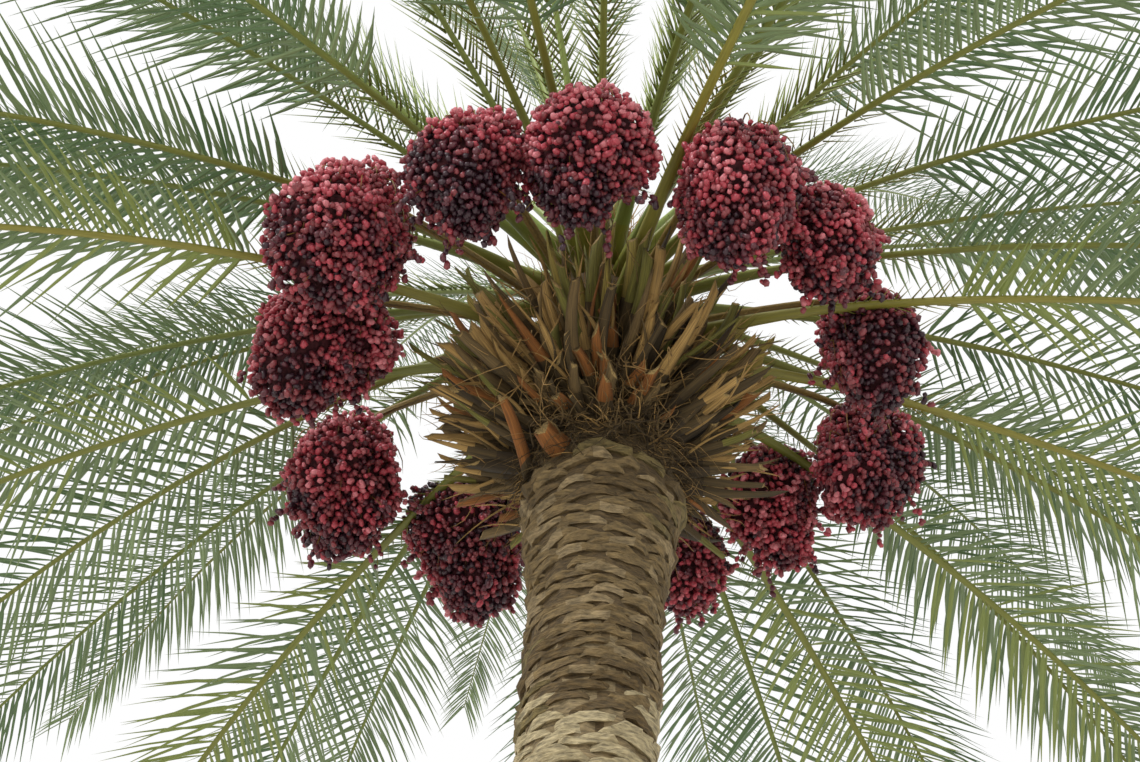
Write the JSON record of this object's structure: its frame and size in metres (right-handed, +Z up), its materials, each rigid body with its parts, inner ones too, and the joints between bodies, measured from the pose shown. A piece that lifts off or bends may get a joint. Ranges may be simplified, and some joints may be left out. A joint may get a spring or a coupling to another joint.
{
  "type": "date palm tree",
  "caption": "Fruiting date palm: a slender leaning trunk, a rosette of cut leaf bases, hanging bunches of dark red dates and a full crown of arching feathered fronds.",
  "frame": {"origin": "centre of the flat cut under the trunk, at ground level", "axes": "+Z up; +X is the way the trunk leans; the picture looks up at the crown from the -Y side"},
  "size_m": [8.0347, 7.8348, 10.5031],
  "materials": {
    "bark": "rough grey-brown bark of overlapping leaf scars",
    "cut_leaf_base": "dry, fibrous, brown with paler cut ends",
    "fruit": "smooth dark red dates, softly shining",
    "low_leaf": "leathery, yellowish green",
    "leaf": "leathery, grey-green, a little shine",
    "young_leaf": "leathery, fresh green"
  },
  "bodies": {
    "root": {"trunk": "bark", "cut_leaf_bases": "cut_leaf_base", "fruit_bunch_01": "fruit", "fruit_bunch_02": "fruit", "fruit_bunch_03": "fruit", "fruit_bunch_04": "fruit", "fruit_bunch_05": "fruit", "fruit_bunch_06": "fruit", "fruit_bunch_07": "fruit", "fruit_bunch_08": "fruit", "fruit_bunch_09": "fruit", "fruit_bunch_10": "fruit", "fruit_bunch_11": "fruit", "fruit_bunch_12": "fruit", "frond_low_1": "low_leaf", "frond_low_2": "low_leaf", "frond_low_3": "low_leaf", "frond_low_4": "low_leaf", "frond_low_5": "low_leaf", "frond_low_6": "low_leaf", "frond_low_7": "low_leaf", "frond_low_8": "low_leaf", "frond_outer_01": "leaf", "frond_outer_02": "leaf", "frond_outer_03": "leaf", "frond_outer_04": "leaf", "frond_outer_05": "leaf", "frond_outer_06": "leaf", "frond_outer_07": "leaf", "frond_outer_08": "leaf", "frond_outer_09": "leaf", "frond_outer_10": "leaf", "frond_outer_11": "leaf", "frond_outer_12": "leaf", "frond_outer_13": "leaf", "frond_outer_14": "leaf", "frond_outer_15": "leaf", "frond_outer_16": "leaf", "frond_outer_17": "leaf", "frond_outer_18": "leaf", "frond_outer_19": "leaf", "frond_outer_20": "leaf", "frond_outer_21": "leaf", "frond_outer_22": "leaf", "frond_outer_23": "leaf", "frond_outer_24": "leaf", "frond_outer_25": "leaf", "frond_outer_26": "leaf", "frond_outer_27": "leaf", "frond_outer_28": "leaf", "frond_outer_29": "leaf", "frond_outer_30": "leaf", "frond_outer_31": "leaf", "frond_outer_32": "leaf", "frond_outer_33": "leaf", "frond_outer_34": "leaf", "frond_outer_35": "leaf", "frond_outer_36": "leaf", "frond_outer_37": "leaf", "young_fronds": "young_leaf"}
  },
  "joints": []
}
